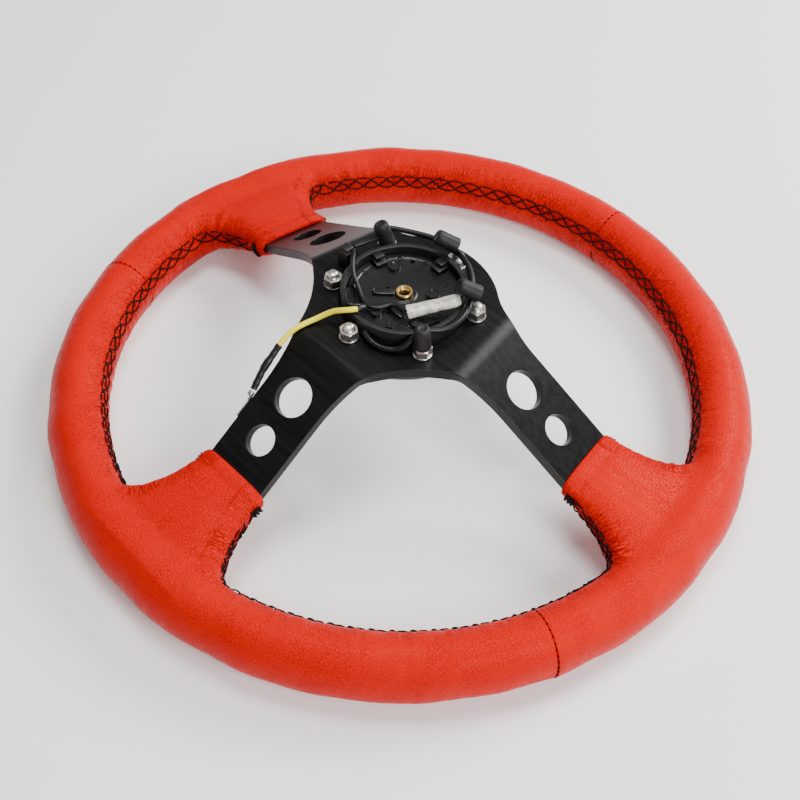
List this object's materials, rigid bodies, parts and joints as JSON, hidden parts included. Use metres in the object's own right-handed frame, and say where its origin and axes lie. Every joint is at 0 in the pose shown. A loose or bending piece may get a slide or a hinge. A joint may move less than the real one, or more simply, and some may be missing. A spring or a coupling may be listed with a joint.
{
  "type": "steering wheel",
  "caption": "Deep dished round motorsport steering wheel with flat folded spokes, leather cover laced to a foam rim, and a sprung horn button in a bolted hub.",
  "frame": {"origin": "on the wheel's axis, in the plane of the front of the rim, which the wheel lies on", "axes": "+Z along the steering axis from the driver's side to the column, +Y to twelve o'clock"},
  "size_m": [0.35, 0.35, 0.0982],
  "materials": {
    "anodised_plate": "black anodised, brushed along the spokes",
    "bare_aluminium": "mill",
    "foam": "moulded polyurethane foam",
    "leather": "pebbled grain, satin",
    "thread": "waxed thread",
    "plastic": "moulded, satin",
    "brass": "turned",
    "spring_steel": "bright drawn",
    "zinc": "bright zinc plate",
    "rubber": "matt",
    "black_wire": "vinyl insulation",
    "yellow_wire": "vinyl insulation",
    "clear_vinyl": "translucent soft vinyl"
  },
  "bodies": {
    "wheel": {"spoke_plate": "anodised_plate", "trim_ring": "anodised_plate", "rim_core": "bare_aluminium", "rim_foam": "foam", "leather_right": "leather", "leather_left": "leather", "leather_bottom": "leather", "lacing_top": "thread", "lacing_left": "thread", "lacing_right": "thread", "horn_sleeve": "plastic", "horn_body": "plastic", "snap_clip_upper_left": "plastic", "snap_clip_top": "plastic", "wire_connector": "plastic", "terminal_bridge": "plastic", "contact_insert": "brass", "contact_strip": "spring_steel", "screw_cap_upper_left": "rubber", "screw_cap_lower_right": "rubber", "screw_cap_top": "rubber", "screw_cap_right": "rubber", "lead_splice": "rubber", "heat_shrink": "rubber", "horn_wire": "black_wire", "black_lead": "black_wire", "yellow_lead": "yellow_wire", "clear_sleeve": "clear_vinyl", "lead_terminal": "zinc", "spade_terminal": "zinc", "core_rivet_1": "bare_aluminium", "core_rivet_2": "bare_aluminium", "core_rivet_3": "bare_aluminium", "core_rivet_4": "bare_aluminium", "core_rivet_5": "bare_aluminium", "core_rivet_6": "bare_aluminium", "hub_screw_1": "zinc", "hub_screw_2": "zinc", "hub_screw_3": "zinc", "hub_screw_4": "zinc", "hub_screw_5": "zinc", "hub_screw_6": "zinc", "hub_washer_1": "zinc", "hub_washer_2": "zinc", "hub_washer_3": "zinc", "hub_washer_4": "zinc", "hub_washer_5": "zinc", "hub_washer_6": "zinc", "hub_nut_1": "zinc", "hub_nut_2": "zinc", "hub_nut_3": "zinc", "hub_nut_4": "zinc", "hub_nut_5": "zinc", "hub_nut_6": "zinc", "return_spring_1": "spring_steel", "return_spring_2": "spring_steel", "return_spring_3": "spring_steel"},
    "horn_button": {"horn_cap": "plastic", "moving_contact": "brass"}
  },
  "joints": [
    {"name": "horn_press", "type": "slide", "parent": "wheel", "child": "horn_button", "axis": [0, 0, 1], "range_m": [0, 0.002], "stiffness_N_per_m": 2500, "springref_m": -0.002, "deforming": ["return_spring_1", "return_spring_2", "return_spring_3"]}
  ]
}
